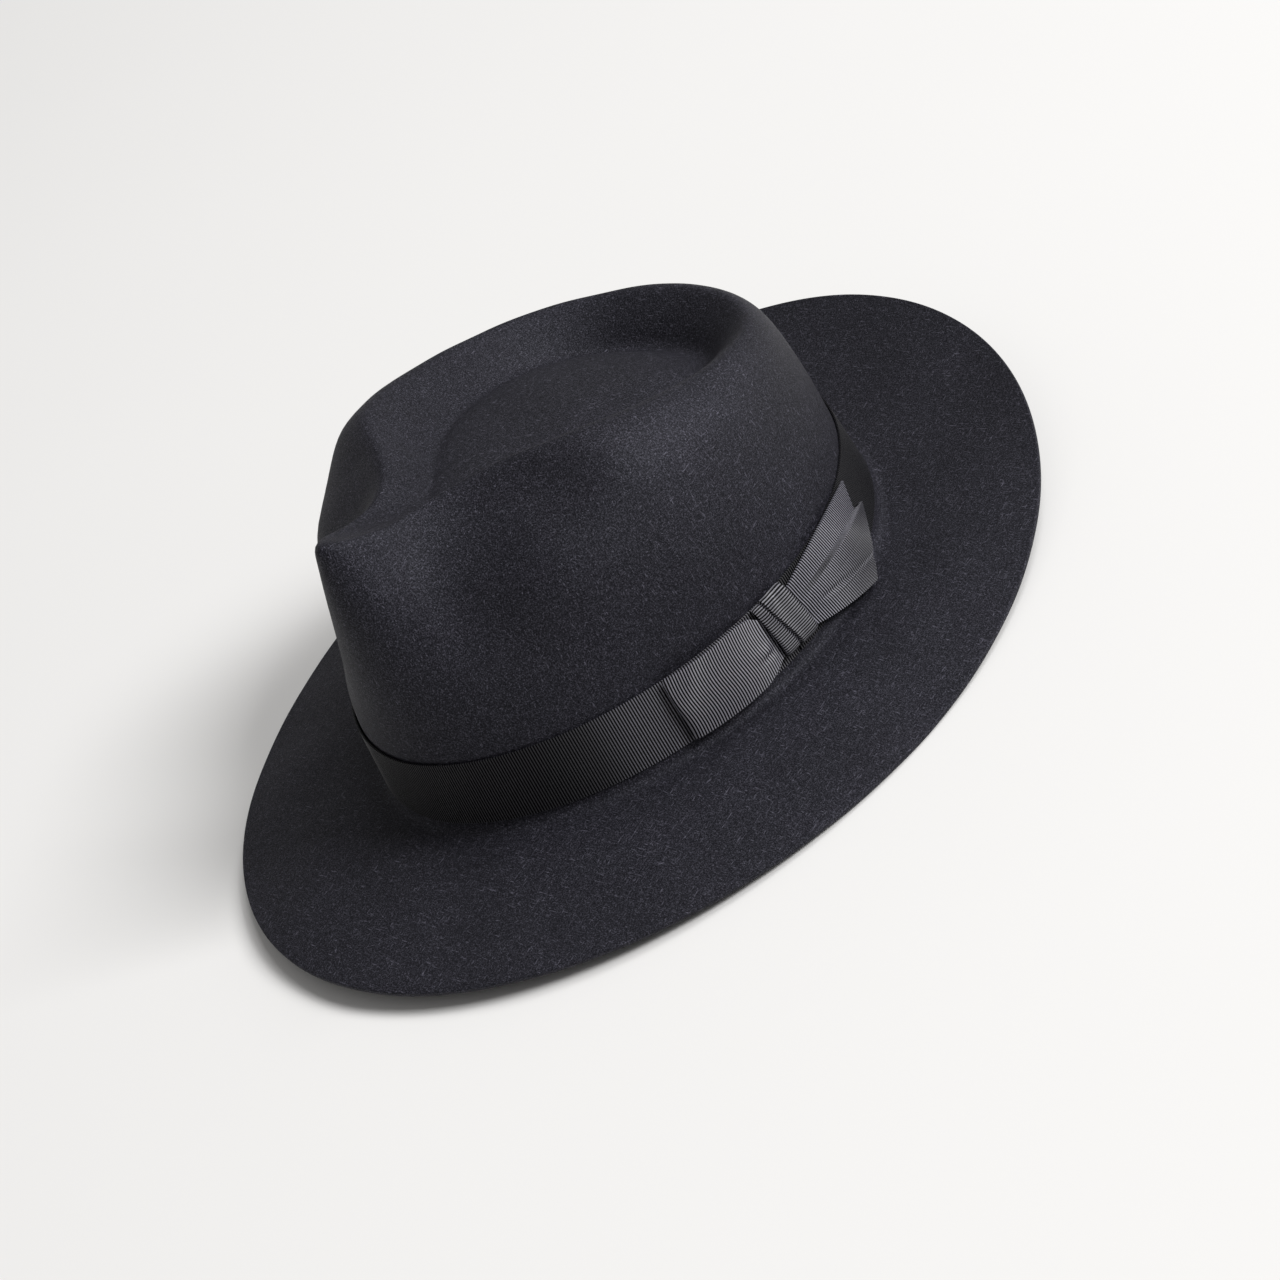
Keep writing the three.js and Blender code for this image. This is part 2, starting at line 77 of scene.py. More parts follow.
# ---- hatband
RIBBON_LOW, RIBBON_WIDE, RIBBON_THICK = 4.9, 24, 0.5
RIBBON_OUT, RIBBON_TAPER = 0.8, 2.5
RIBBON_JOIN = -3.4  # where its ends meet under the knot, in degrees
RIBBON_TRIM = 0.1  # taken off the thickness at its back
RIB_PITCH = 0.96
RIB_COLUMNS = 6
RIB_HIGH = 0.2
RIB_SCALLOP = 0.12  # how far a rib stands past the ribbon's two edges
# The most that "rib" reaches along the band: on its dark part, which is painted shade,
# and in front of the bow, where a painted sheen lies; the knot carries the sheen too.
PAINTED_SHADE_RIB_TOP, PAINTED_SHEEN_RIB_TOP = 0.68, 0.93

# Half of the crest round the top, from the nose at the front to the back: out, back, up.
CREST = (
    (0, -85.5, 111.3), (6.5, -81, 108.8), (8.5, -70, 103.6), (10.5, -56.5, 100.3),
    (16.5, -43.5, 99.8), (28, -32.5, 101.3), (41, -24, 102.4), (52, -14.5, 102), (59, -3, 99),
    (62.5, 10, 95.2), (64, 24, 91.2), (64, 38, 87.2), (60, 53, 83.3), (52, 67, 80),
    (38, 79, 77.3), (20, 87, 75.9), (0, 90, 75.4),
)
# Half of the channel inside the crest, the lowest line of the teardrop crease.
CHANNEL = (
    (0, -42, 91), (1.5, -41.5, 90.8), (4, -40, 90.5), (7.5, -36.5, 89.8), (12, -31, 89),
    (18, -24, 88.2), (25, -16, 87), (31, -7, 85.5), (36, 3, 83.2), (40, 14, 80.3),
    (42.5, 26, 77), (42, 38, 73.5), (39, 49, 70), (33, 58, 66.5), (24, 65, 63.5),
    (13, 69, 62), (0, 70.5, 61.5),
)
CREST_LIFT, CHANNEL_SINK = 1.2, 0.8  # control rows past the two lines, which the spline rounds
CREASE_SHARES = (0.22, 0.45, 0.72)  # rows from the crest down to the channel
BUMP_TOP = (0, 4, 86)  # middle of the rise inside the channel
BUMP_SLOPE = 0.1
# Shares of the way in from the channel, and of the rise, for the rows between the two.
BUMP_ROWS = ((0.1, 0.3), (0.22, 0.6), (0.4, 0.82), (0.62, 0.95), (0.85, 1))
# How far the wall has leant from the oval to the crest at each level, by where it stands.
WALL_LEVELS = (0.12, 0.3, 0.46, 0.6, 0.73, 0.84, 0.93)
LEAN_SIDE = (0, 0.02, 0.05, 0.09, 0.16, 0.29, 0.53)
LEAN_BACK = (0.01, 0.05, 0.1, 0.17, 0.27, 0.41, 0.61)
LEAN_FRONT = (0.03, 0.14, 0.27, 0.4, 0.53, 0.69, 0.85)
LEAN_DENT = (0.03, 0.06, 0.08, 0.1, 0.22, 0.49, 0.78)
LEAN_NOSE = (0.06, 0.18, 0.32, 0.46, 0.6, 0.74, 0.88)

# ---- sweatband
LEATHER_THICK, LEATHER_LOW, LEATHER_HIGH = 0.9, 2.2, 35
LEATHER_OUT, LEATHER_LEAN = -3.7, 5.2
SEAM_GAP_DEG = 0.4
REED_OUT, REED_UP, REED_RADIUS = -2.95, 0.3, 0.7
TAPE_RADIUS, TAPE_THICK, TAPE_HIGH = 1.0, 0.3, 7
STITCHES, STITCH_ARC_DEG, STITCH_HALF_DEG = 168, 357, 0.75
THREAD_UP, THREAD_RADIUS = 4.4, 0.27
SEAM_BOW_UP, SEAM_BOW_HALF = 25, 11
DEG_LONG_INSIDE = 1.52  # length of a degree round the leather

# ---- lining
SATIN_THICK = 0.35
LINING_LOW, LINING_LOW_OUT = 17, -3.75
LINING_FOOT_OUT, LINING_FOOT_UP = -5.2, 30
PIPING_RADIUS = 0.8
PIPING_SIDES = 10
LINING_CREST = (
    (0, -52, 86), (4, -51.5, 86.5), (8, -49, 87.5), (12, -44.5, 88.5), (18, -37, 90.5),
    (27, -28.5, 93.5), (38, -21, 95.5), (48.5, -12.5, 95), (55, -2, 92.3), (58.5, 10, 88.7),
    (60, 24, 84.8), (59.8, 37, 80.8), (56, 50.5, 77), (48.5, 63.5, 73.8), (35.5, 74.5, 71.2),
    (18.7, 82, 69.6), (0, 84.7, 69),
)
LINING_CHANNEL = (
    (0, -36, 83.5), (1.5, -35.5, 83.3), (3.8, -34, 83), (7, -31, 82.5), (11, -26.5, 81.8),
    (16.5, -20.5, 81), (23, -13.5, 79.8), (28.5, -5.5, 78.3), (33, 3.5, 76), (37, 13.5, 73.2),
    (39.2, 24.5, 70), (38.8, 35.8, 66.5), (36, 46, 63), (30.5, 54.5, 59.5), (22, 61, 56.8),
    (12, 64.8, 55.3), (0, 66.2, 54.8),
)
LINING_TOP = (0, 4, 79.5)

# ---- bow
BOW_THICK = 0.5
DEG_LONG = 1.815  # length of a degree round the hatband
LOOP_FRONT, LOOP_BACK = -29.2, -5.2
LOOP_LOW, LOOP_HIGH = 1.4, 25.6
KNOT_FRONT, KNOT_BACK = -8.1, -0.4
KNOT_MIDDLE = (13, 0.5)  # up and out, a place inside its arch
# The tail's free end: share of its width, then degrees round, up and out at each corner.
TAIL_SHARES = (0, 0.17, 0.33, 0.42, 0.6, 0.8, 1)
TAIL_END = ((28.6, 23.6, 1.9), (27.2, 19.4, 2.2), (25.8, 14.9, 2.4), (29.9, 12.3, 2.6),
            (25.9, 7.6, 3.7), (21.4, 2.2, 5.2), (16.9, -2.9, 6.8))


# ------------------------------------------------------------------ small maths


def lerp(a, b, share):
    return a + (b - a) * share


def smooth_step(x, low, high):
    share = np.clip((x - low) / (high - low), 0, 1)
    return share * share * (3 - 2 * share)


def bell(x, width):
    return np.exp(-((x / width) ** 2))


def unit(v):
    return v / np.maximum(np.linalg.norm(v, axis=-1, keepdims=True), 1e-9)


def round_the_hat():
    return np.arange(HAT_COLUMNS) * 2 * math.pi / HAT_COLUMNS


def oval(angle):
    c, s = np.cos(angle), np.sin(angle)
    k = (np.abs(c) ** SQUARENESS + np.abs(s) ** SQUARENESS) ** (-1 / SQUARENESS)
    return np.stack([HALF_WIDTH * c * k * (1 + EGG * s), HALF_LENGTH * s * k], -1)


def break_height(angle):
    return -2.0 * np.sin(angle) - 0.8 * np.cos(2 * angle)


def beside(angle, out, up):
    """Points beside the head oval: out along its normal, and up from the break."""
    angle, out, up = np.broadcast_arrays(*(np.asarray(x, float) for x in (angle, out, up)))
    along_oval = oval(angle + 0.02) - oval(angle - 0.02)
    normal = unit(np.stack([along_oval[..., 1], -along_oval[..., 0]], -1))
    flat = oval(angle) + normal * out[..., None]
    return np.concatenate([flat, (break_height(angle) + up)[..., None]], -1)


def from_front(angle):
    """0 at the nose, 16 at the middle of the back."""
    turned = (angle + math.pi * 1.5) % (2 * math.pi) - math.pi
    return np.abs(turned) / (math.pi / 16)


def along(half, angle):
    """A half line read as a smooth curve, and mirrored across the middle of the hat."""
    half = np.array(half, float)
    mirror = np.array([-1, 1, 1])
    padded = np.vstack([half[1] * mirror, half, half[-2] * mirror])
    place = np.minimum(from_front(angle), 15.9999)
    k = np.floor(place).astype(int)
    u = (place - k)[:, None]
    a, b, c, d = (padded[k + i] for i in range(4))
    point = 0.5 * (2 * b + (c - a) * u + (2 * a - 5 * b + 4 * c - d) * u**2
                   + (3 * b - a - 3 * c + d) * u**3)
    point[:, 0] *= np.where(np.cos(angle) >= 0, 1, -1)
    return point


def between(start, end, share, height_share):
    """Points part of the way from one line to another, with a share of its own for height."""
    share = np.asarray(share, float)
    point = start + (end - start) * (share[:, None] if share.ndim else share)
    point[:, 2] = lerp(start[:, 2], end[:, 2], height_share)
    return point


def b_spline(line, steps):
    """Rows along a uniform cubic B-spline through control rows; the last row is its end."""
    line = np.concatenate([line[:1], line, line[-1:], line[-1:]])
    rows = []
    for i in range(len(line) - 3):
        for j in range(steps):
            u = j / steps
            weights = ((1 - u) ** 3, 3 * u**3 - 6 * u**2 + 4, -3 * u**3 + 3 * u**2 + 3 * u + 1,
                       u**3)
            rows.append(sum(w * line[i + k] for k, w in enumerate(weights)) / 6)
    return np.array([*rows, line[-1]])


def even_curve(points, count):
    """count points at even distances along a smooth curve through a short list."""
    curve = b_spline(np.array(points, float), CURVE_STEPS)
    gaps = np.linalg.norm(np.diff(curve, axis=0), axis=1)
    distance = np.concatenate([[0], np.cumsum(gaps)])
    wanted = np.linspace(0, distance[-1], count)
    return np.stack([np.interp(wanted, distance, line) for line in curve.T], -1)


def curve_length(points):
    """Length of even_curve's curve through the same list."""
    curve = b_spline(np.array(points, float), CURVE_STEPS)
    return float(np.linalg.norm(np.diff(curve, axis=0), axis=1).sum())


# ------------------------------------------------------------------ meshes

SAME_PLACE = 1e-7  # metres between two points that count as one
SHARP_DEGREES = 50


def closed_mesh(name, grid, ring, rib=None):
    """One closed body from a grid of points, whose last row joins its first.

    In a ring the last column joins the first too. rib goes on the points, for the material,
    which paints a highlight from it on the ribs.
    """
    rows, columns = grid.shape[:2]
    row = np.arange(rows)[:, None]
    column = np.arange(columns if ring else columns - 1)[None, :]
    below, beyond = (row + 1) % rows, (column + 1) % columns
    faces = np.stack([row * columns + column, row * columns + beyond,
                      below * columns + beyond, below * columns + column], -1)
    mesh = bpy.data.meshes.new(name)
    mesh.from_pydata((grid.reshape(-1, 3) * MM).tolist(), [], faces.reshape(-1, 4).tolist())
    if rib is not None:
        values = mesh.attributes.new(name="rib", type="FLOAT", domain="POINT")
        values.data.foreach_set("value", rib.reshape(-1).astype(np.float32))
    return finished_mesh(name, mesh)


def finished_mesh(name, mesh):
    """A piece from its mesh, with doubled points joined, faces turned out and smooth shading."""
    work = bmesh.new()
    work.from_mesh(mesh)
    bmesh.ops.remove_doubles(work, verts=work.verts, dist=SAME_PLACE)
    bmesh.ops.recalc_face_normals(work, faces=work.faces)
    work.to_mesh(mesh)
    work.free()
    mesh.shade_smooth()
    mesh.set_sharp_from_angle(angle=math.radians(SHARP_DEGREES))
    piece = bpy.data.objects.new(name, mesh)
    bpy.context.scene.collection.objects.link(piece)
    return piece


def two_faced(name, front, back, ring, rib=None):
    """A thin sheet with two faces, closed round its edges. rib: a painted highlight on ribs, 0
    between.
    """
    grid = np.concatenate([front, back[::-1]])
    if rib is not None:
        rib = np.broadcast_to(rib, front.shape[:2])
        rib = np.concatenate([rib, rib[::-1]])
    if not ring:
        middle = (front + back) / 2
        cap = np.concatenate([middle, middle[::-1]])
        grid = np.concatenate([cap[:, :1], grid, cap[:, -1:]], axis=1)
        if rib is not None:
            rib = np.concatenate([rib[:, :1], rib, rib[:, -1:]], axis=1)
    return closed_mesh(name, grid, ring, rib)


def face_normals(grid, ring):
    if ring:
        across = np.roll(grid, -1, axis=1) - np.roll(grid, 1, axis=1)
    else:
        across = np.gradient(grid, axis=1)
    return unit(np.cross(across, np.gradient(grid, axis=0)))


# ------------------------------------------------------------------ felt


def lean(angle, level):
    """How far the wall has leant from the oval to the crest at a level."""
    place = from_front(angle)
    plain = lerp(LEAN_SIDE[level], LEAN_BACK[level], smooth_step(place, 8, 13))
    dent = lerp(LEAN_FRONT[level], LEAN_DENT[level], smooth_step(place, 2.5, 5.5))
    wall = lerp(plain, dent, 1 - smooth_step(place, 5.3, 7.3))
    return lerp(wall, LEAN_NOSE[level], bell(place, 1.7))


def brim_point(angle, step):
    """A place on the brim, which is lowest near the sides and turned up at the back."""
    width = BRIM_WIDE - 1.0 * np.sin(angle) - 2.7 * np.cos(2 * angle)
    edge = -1.6 + 6.6 * np.sin(angle) - 6.2 * np.cos(2 * angle) - 0.7 * np.sin(3 * angle)
    return beside(angle, width * step, (edge - break_height(angle)) * step**BRIM_CURL)


def felt_lines(angle):
    """Control rows from the brim's edge up the wall, over the crest and into the crease."""
    foot = beside(angle, -RIBBON_TAPER, RIBBON_LOW + RIBBON_WIDE - 2)
    crest, channel = along(CREST, angle), along(CHANNEL, angle)
    top = np.broadcast_to(np.array(BUMP_TOP, float), crest.shape)
    rows = [brim_point(angle, step) for step in BRIM_STEPS]
    rows += [beside(angle, out, up) for out, up in FOOT_ROWS]
    rows += [beside(angle, -0.7 * RIBBON_TAPER, 22), foot]
    rows += [between(foot, crest, lean(angle, i), level) for i, level in enumerate(WALL_LEVELS)]
    rows.append(crest + (0, 0, CREST_LIFT))
    roundness = 1.5 - 0.55 * bell(from_front(angle), 2.2)
    rows += [between(crest, channel, share, share**roundness) for share in CREASE_SHARES]
    rows.append(channel - (0, 0, CHANNEL_SINK))
    for share, rise in BUMP_ROWS:
        row = lerp(channel, top, share)
        surface = BUMP_TOP[2] - BUMP_SLOPE * (row[:, 1] - BUMP_TOP[1])
        row[:, 2] = lerp(channel[:, 2], surface, rise)
        rows.append(row)
    rows.append(top)
    return np.array(rows)


def hand_blocked(grid):
    """A wobble of a few tenths of a millimetre, none of it under the ribbon."""
    x, y, z = grid[..., 0], grid[..., 1], grid[..., 2]
    wave = np.sin(x / 17 + 1.3 * np.sin(y / 23)) * np.sin(y / 19 + 0.8 * np.sin(z / 13 + x / 31))
    wave += 0.5 * np.sin(x / 7.3 + y / 9.1) * np.sin(z / 8.7 - y / 11.7)
    reach = np.hypot(x / HALF_WIDTH, y / HALF_LENGTH)
    on_brim = smooth_step(reach, 1.12, 1.3) * (z < 30)
    on_crown = smooth_step(z, 40, 55)
    return 0.28 * wave * np.maximum(on_brim, on_crown)


def felt_body():
    """Crown and brim in one: the outer face, the inner face, and the raw edge between them."""
    angle = round_the_hat()
    outer = b_spline(felt_lines(angle), LINE_STEPS)
    normal = face_normals(outer, True)
    normal[-1] = (0, 0, 1)
    outer = outer + normal * hand_blocked(outer)[..., None]
    inner = outer - normal * FELT_THICK
    outwards = unit(outer[0] - outer[1])
    cut = [lerp(inner[0], outer[0], share) + outwards * bulge for share, bulge in CUT_EDGE]
    grid = np.concatenate([outer, inner[::-1], np.array(cut)])
    return closed_mesh("felt", grid, True)


# ------------------------------------------------------------------ ribbon and bow


def on_band(degrees, up, out):
    """A place on the hatband: degrees round, up from its lower edge, out from its face."""
    face = RIBBON_OUT - RIBBON_TAPER * np.asarray(up, float) / RIBBON_WIDE
    return beside(np.radians(degrees), face + out, RIBBON_LOW + np.asarray(up, float))


def ribs(distance):
    """Grosgrain's ribs at a distance along the ribbon: 1 on top of a rib, 0 between two."""
    return np.abs(np.sin(math.pi * distance / RIB_PITCH))


def ribbed_columns(length):
    """How many columns of points a length of ribbon takes, about RIB_COLUMNS to each rib."""
    return int(length / RIB_PITCH) * RIB_COLUMNS + 1


def hatband():
    start, end = RIBBON_JOIN + 0.2, 360 + RIBBON_JOIN - 0.2
    fine = np.radians(np.linspace(start, end, 4001))
    gaps = np.linalg.norm(np.diff(beside(fine, 0, 12), axis=0), axis=1)
    distance = np.concatenate([[0], np.cumsum(gaps)])
    length = distance[-1]
    count = ribbed_columns(length)
    place = np.linspace(0, length, count)
    degrees = np.degrees(np.interp(place, distance, fine))[None, :]
    up = np.linspace(0, RIBBON_WIDE, 6)[:, None]
    edge = np.where((up == 0) | (up == RIBBON_WIDE), np.sign(up - 1), 0)
    scallop = RIB_SCALLOP * edge * ribs(place)
    front = on_band(degrees, up + scallop, RIB_HIGH * ribs(place) + 0 * up)
    back = on_band(degrees, up + 0 * degrees, RIBBON_TRIM - RIBBON_THICK)
    # A painted sheen: the ribs are painted lightest in front of the bow, where the light falls,
    # and fade along the band to painted shade, near black.
    beside_bow = np.where(degrees > 180, degrees - 360, degrees)
    painted_sheen = smooth_step(beside_bow, -61, -35) * (1 - smooth_step(beside_bow, -12, 2))
    shade = ribs(place) * lerp(PAINTED_SHADE_RIB_TOP, PAINTED_SHEEN_RIB_TOP, painted_sheen)
    return two_faced("hatband", front, back, False, shade), length


def loop_piece():
    """Ribbon folded back on itself at the front, with both ends gathered under the knot."""
    front, back = LOOP_FRONT * DEG_LONG, LOOP_BACK * DEG_LONG
    # In plan, along the band and out: the lower layer forward, the fold, the upper layer back.
    plan = [(back + 2, 0.75), (back - 8, 0.7), (front + 20, 0.65), (front + 6, 0.65),
            (front + 1.8, 0.75), (front + 0.4, 1.3), (front + 0.1, 2.0), (front + 0.9, 2.8),
            (front + 4, 3.4), (front + 14, 3.9), (front + 24, 3.8), (back - 9, 2.8),
            (back - 4, 1.6), (back + 2, 1.4)]
    length = curve_length(plan)
    count = ribbed_columns(length)
    curve = even_curve(plan, count)
    place = np.linspace(0, length, count)
    tangent = unit(np.gradient(curve, axis=0))
    side = np.stack([-tangent[:, 1], tangent[:, 0]], -1)
    outer_layer = smooth_step(curve[:, 1], 1.8, 2.6)
    share = np.linspace(0, 1, 25)[:, None]

    def face(sign):
        bulge = sign * (BOW_THICK / 2 + (RIB_HIGH * ribs(place) if sign < 0 else 0))
        x = curve[:, 0] + side[:, 0] * bulge
        out = curve[:, 1] + side[:, 1] * bulge
        gathered = smooth_step(x, back - 16, back)
        top = LOOP_HIGH - 3.2 * gathered - 2.4 * (1 - outer_layer)
        up = lerp(LOOP_LOW + 3.4 * gathered, top, share)
        # A soft pleat, and a shallow groove above it, run out of the knot.
        crease = smooth_step(x, back - 17, back - 5) * outer_layer
        crease = crease * (1 - 0.9 * smooth_step(x, back - 8, back - 4))
        fold = -0.9 * bell(up - 8.9, 0.9) + 0.75 * bell(up - 11.2, 1.7)
        fold = fold - 0.35 * bell(up - 18.5, 1.3) * smooth_step(x, back - 9, back)
        slack = 0.35 * np.sin(up / 24 * math.pi) * outer_layer * (1 - gathered)
        sway = 0.45 * np.sin(2 * math.pi * up / 24) * outer_layer
        return on_band((x + sway) / DEG_LONG, up, out + crease * fold + slack)

    # The rib value paints a highlight on each rib's top, at full strength on the bow.
    return two_faced("bow_front_loop", face(-1), face(1), False, ribs(place)[None, :]), length


def tail_piece():
    """One fanned layer from under the knot to a notched end."""
    rows = 73
    columns = 60 * RIB_COLUMNS
    share = np.linspace(0, 1, rows)
    # A row on each corner of the notch keeps its points sharp.
    for corner in TAIL_SHARES:
        share[np.argmin(np.abs(share - corner))] = corner
    ends = np.stack([np.interp(share, TAIL_SHARES, [p[i] for p in TAIL_END]) for i in range(3)])
    starts = np.stack([lerp(-1.4, 0.4, share), lerp(21.3, 4.7, share), np.full(rows, 2.2)])
    u = np.linspace(0, 1, columns)[None, :]
    share = share[:, None]
    arch = 4 * u * (1 - u)
    degrees = lerp(starts[0][:, None], ends[0][:, None], u)
    up = lerp(starts[1][:, None], ends[1][:, None], u)
    up = up + 3.0 * arch * (1 - share) - 0.6 * arch * share
    out = lerp(starts[2][:, None], ends[2][:, None], u) + 0.7 * arch * np.sin(math.pi * share)
    reach = np.hypot((ends[0] - starts[0]) * DEG_LONG, ends[1] - starts[1])[:, None] * u
    # Folds run out of the knot and die away along the tail.
    near = 1 - smooth_step(u, 0.05, 0.75)
    out = out + near * (0.14 * np.sin(share * 4.2 * math.pi + 0.6) - 0.1)
    crease = bell(share - lerp(0.66, 0.83, u), 0.035) * smooth_step(u, 0.15, 0.35)
    out = out - 0.5 * crease

    def face(sign):
        bulge = BOW_THICK / 2 + (RIB_HIGH * ribs(reach) if sign > 0 else 0 * reach)
        return on_band(degrees, up, out + sign * bulge)

    # The rib value paints a highlight on each rib's top, at full strength on the bow.
    return two_faced("bow_fanned_tail", face(1), face(-1), False, ribs(reach))


def knot_piece():
    """A short ribbon in an arch over the bow's gathered middle, its two ends at the band."""
    arch = ((24.9, 0.6), (24.8, 1.7), (24.2, 2.7), (22.4, 3.5), (17, 4.2), (10, 4.4), (6, 4.3),
            (4.3, 3.7), (3.3, 2.4), (3.1, 0.6))
    length = curve_length(arch)
    count = ribbed_columns(length)
    curve = even_curve(arch, count)
    place = np.linspace(0, length, count)[None, :]
    share = np.linspace(0, 1, 41)[:, None]
    tangent = unit(np.gradient(curve, axis=0))
    inward = np.stack([tangent[:, 1], -tangent[:, 0]], -1)
    inward *= np.sign((inward * (np.array(KNOT_MIDDLE) - curve)).sum(-1))[:, None]
    # A flat wide fold lies over a narrow pleat, with a deep groove along the step between them.
    seam = lerp(0.3, 0.45, smooth_step(place / length, 0.1, 0.9))
    swell = lerp(-0.35, 0.2, smooth_step(share, seam - 0.01, seam + 0.02))
    swell = swell - 0.55 * bell(share - seam + 0.02, 0.025) - 0.3 * bell(share, 0.03)
    swell = swell - 0.3 * bell(1 - share, 0.03) + 0.12 * np.sin(3 * math.pi * share)

    def face(depth):
        rise = swell + (RIB_HIGH * ribs(place) if depth == 0 else 0)
        up = curve[:, 0] + inward[:, 0] * (depth - rise)
        out = np.maximum(curve[:, 1] + inward[:, 1] * (depth - rise), 0.35)
        lower = 1 - up / RIBBON_WIDE
        degrees = lerp(KNOT_FRONT + 1.3 * lower, KNOT_BACK + 1.8 * lower, share)
        return on_band(degrees, up, out)

    # The knot's ribs carry the painted sheen that lies by the bow.
    shade = PAINTED_SHEEN_RIB_TOP * ribs(place)
    return two_faced("bow_centre_knot", face(0), face(BOW_THICK), False, shade), length


# ------------------------------------------------------------------ sweatband


def on_leather(angle, up, depth):
    """A place on the sweatband: up from the break, and in from the leather's outer face."""
    share = (np.asarray(up, float) - LEATHER_LOW) / (LEATHER_HIGH - LEATHER_LOW)
    return beside(angle, LEATHER_OUT - LEATHER_LEAN * share - depth, up)


def leather_band():
    half_gap = SEAM_GAP_DEG / 2
    angle = np.radians(np.linspace(90 + half_gap, 450 - half_gap, 361))[None, :]
    below_edge = np.linspace(LEATHER_LOW, LEATHER_HIGH - 1, 22)
    up = np.concatenate([below_edge, [LEATHER_HIGH - 0.4, LEATHER_HIGH]])[:, None]
    waves = 0.22 * np.sin(9 * angle + 1.1 * np.sin(4 * angle)) * smooth_step(up, 12, 30)
    soft = np.abs(waves)
    roll = 0.25 * bell(up - LEATHER_HIGH, 0.5)
    outer = on_leather(angle, up, soft + roll)
    inner = on_leather(angle, up, LEATHER_THICK + soft - roll)
    return two_faced("leather_sweatband", outer, inner, False)


def ring_of(name, section):
    """A ring of one section, its corners given as out and up beside the head oval."""
    angle = round_the_hat()
    return closed_mesh(name, np.array([beside(angle, out, up) for out, up in section]), True)


def round_reed(radius, degrees):
    """Corners of a section that goes round the reed, each as out and up."""
    return [(REED_OUT + radius * math.cos(math.radians(a)),
             REED_UP + radius * math.sin(math.radians(a))) for a in degrees]


def reed_tape():
    """Tape hooked round the reed, with one leg up behind the leather."""
    bend = range(35, -186, -20)
    leg = REED_OUT + 0.2
    section = [(leg + TAPE_THICK, TAPE_HIGH), (leg + TAPE_THICK, 2.1)]
    section += round_reed(TAPE_RADIUS + TAPE_THICK, bend)
    section += round_reed(TAPE_RADIUS, reversed(bend))
    section += [(leg, 1.8), (leg, TAPE_HIGH)]
    return ring_of("reed_tape", section)


def stitches():
    """A row of separate stitches through the leather, each a short rounded bead of thread."""
    sides, rings = 6, 5
    share = (THREAD_UP - LEATHER_LOW) / (LEATHER_HIGH - LEATHER_LOW)
    face = LEATHER_OUT - LEATHER_LEAN * share - LEATHER_THICK
    points, faces = [], []
    first_place = 90 + (360 - STITCH_ARC_DEG) / 2
    for i in range(STITCHES):
        middle = math.radians(first_place + i * STITCH_ARC_DEG / (STITCHES - 1))
        first = len(points)
        for j in range(rings):
            v = 2 * j / (rings - 1) - 1
            radius = THREAD_RADIUS * math.sqrt(max(1 - v**4, 0.03))
            out = face - 0.12 - 0.2 * (1 - v * v)
            angle = middle + v * math.radians(STITCH_HALF_DEG)
            for k in range(sides):
                a = 2 * math.pi * k / sides
                points.append(beside(angle, out + radius * math.cos(a),
                                     THREAD_UP + 0.25 * v + radius * math.sin(a)) * MM)
        for j in range(rings - 1):
            for k in range(sides):
                a, b = first + j * sides + k, first + j * sides + (k + 1) % sides
                faces.append((a, b, b + sides, a + sides))
        faces.append(tuple(first + k for k in range(sides)))
        faces.append(tuple(first + (rings - 1) * sides + k for k in reversed(range(sides))))
    mesh = bpy.data.meshes.new("sweatband_stitches")
    mesh.from_pydata([tuple(p) for p in points], [], faces)
    return finished_mesh("sweatband_stitches", mesh)


def patch_on_leather(name, centre, half, low, high, clearance, thick):
    """A small cloth on the leather's inner face, centre and half being degrees round."""
    angle = np.radians(np.linspace(centre - half, centre + half, 33))[None, :]
    up = np.linspace(low, high, 25)[:, None]
    worn = 0.12 * np.sin(up * 0.9) * np.sin(angle * 60)
    front = on_leather(angle, up, LEATHER_THICK + clearance + np.abs(worn))
    back = on_leather(angle, up, LEATHER_THICK + clearance + thick + np.abs(worn))
    return two_faced(name, back, front, False)


def rear_bow():
    """A small bow over the leather's seam, as one puffed form with folds beside its middle."""
    stations = (-11, -9.5, -6, -3, -1.6, 1.6, 3, 6, 9.5, 11)
    heights = (3.4, 4.6, 3.9, 2.4, 2.2, 2.2, 2.4, 3.9, 4.6, 3.4)
    depths = (0.9, 1.5, 1.7, 1.2, 1.9, 1.9, 1.2, 1.7, 1.5, 0.9)
    station = np.linspace(-SEAM_BOW_HALF, SEAM_BOW_HALF, 89)
    high = np.interp(station, stations, heights)
    deep = np.interp(station, stations, depths)
    smooth = np.ones(5) / 5
    high = np.convolve(np.pad(high, 2, "edge"), smooth, "valid")
    deep = np.convolve(np.pad(deep, 2, "edge"), smooth, "valid")
    side = np.linspace(-1, 1, 25)[:, None]
    angle = np.radians(90 + station / DEG_LONG_INSIDE)
    pinch = bell(np.abs(station) - 2.6, 1.2)
    folds = 0.25 * np.abs(np.sin(2.5 * math.pi * side)) * pinch
    swell = deep * (1 - 0.5 * side**2) - folds
    on_face = LEATHER_THICK + 1.1
    up = SEAM_BOW_UP + side * high
    front = on_leather(angle, up, on_face + np.maximum(swell, 0.3))
    back = on_leather(angle, up, on_face + 0 * swell)
    return two_faced("seam_bow", front, back, False)


# ------------------------------------------------------------------ lining


